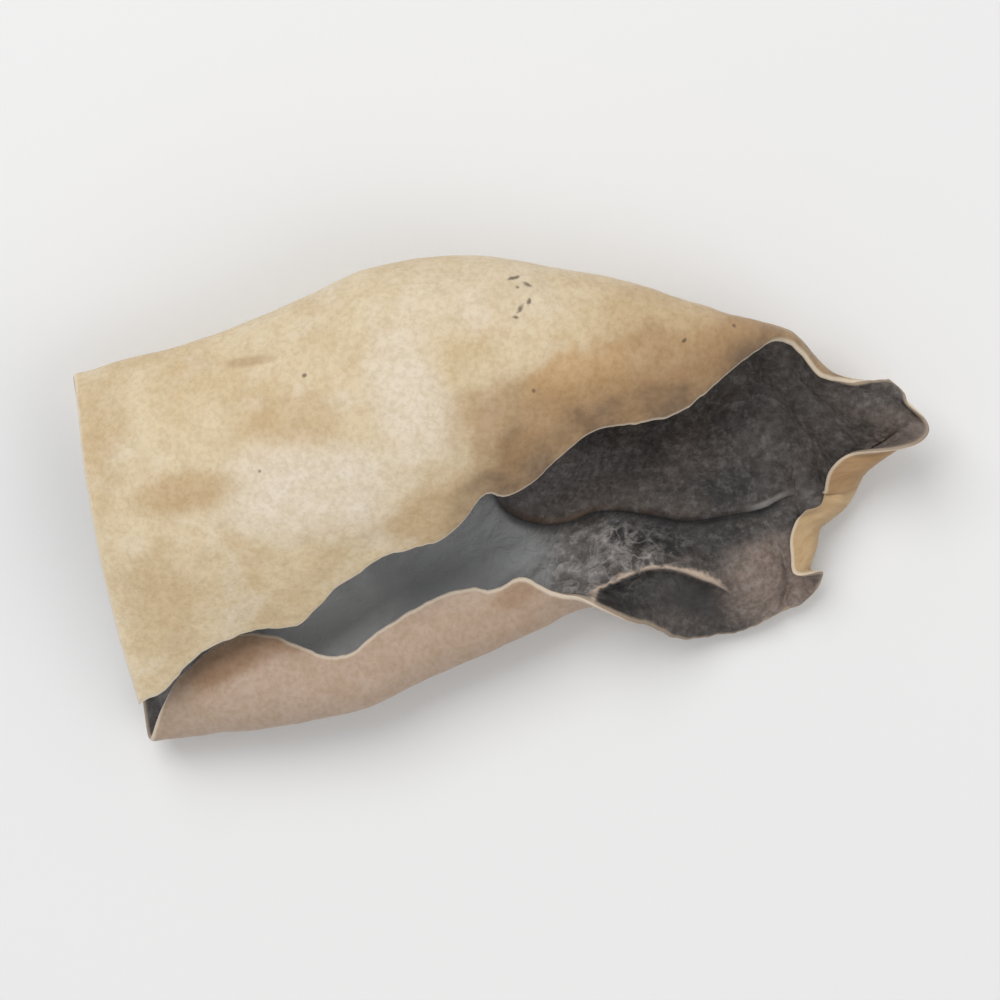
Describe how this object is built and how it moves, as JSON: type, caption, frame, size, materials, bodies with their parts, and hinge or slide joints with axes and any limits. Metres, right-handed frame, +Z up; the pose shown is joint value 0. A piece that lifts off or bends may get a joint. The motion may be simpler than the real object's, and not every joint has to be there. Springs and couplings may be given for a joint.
{
  "type": "dried wood ear mushroom",
  "caption": "Dried wood ear mushroom rolled into an open scroll, with a cream felted outside, a black inner face and a frilled free margin; lies on its back.",
  "frame": {"origin": "centre of the footprint of the part's box, on the surface that it lies on", "axes": "+X from the cut end to the frilled end, +Y towards the closed fold of the scroll, +Z up"},
  "size_m": [0.0876, 0.0502, 0.0205],
  "materials": {
    "dried_flesh": "matt felted cream outside, matt black-brown inner face, thin tan margins"
  },
  "bodies": {
    "root": {"wood_ear": "dried_flesh"}
  },
  "joints": []
}
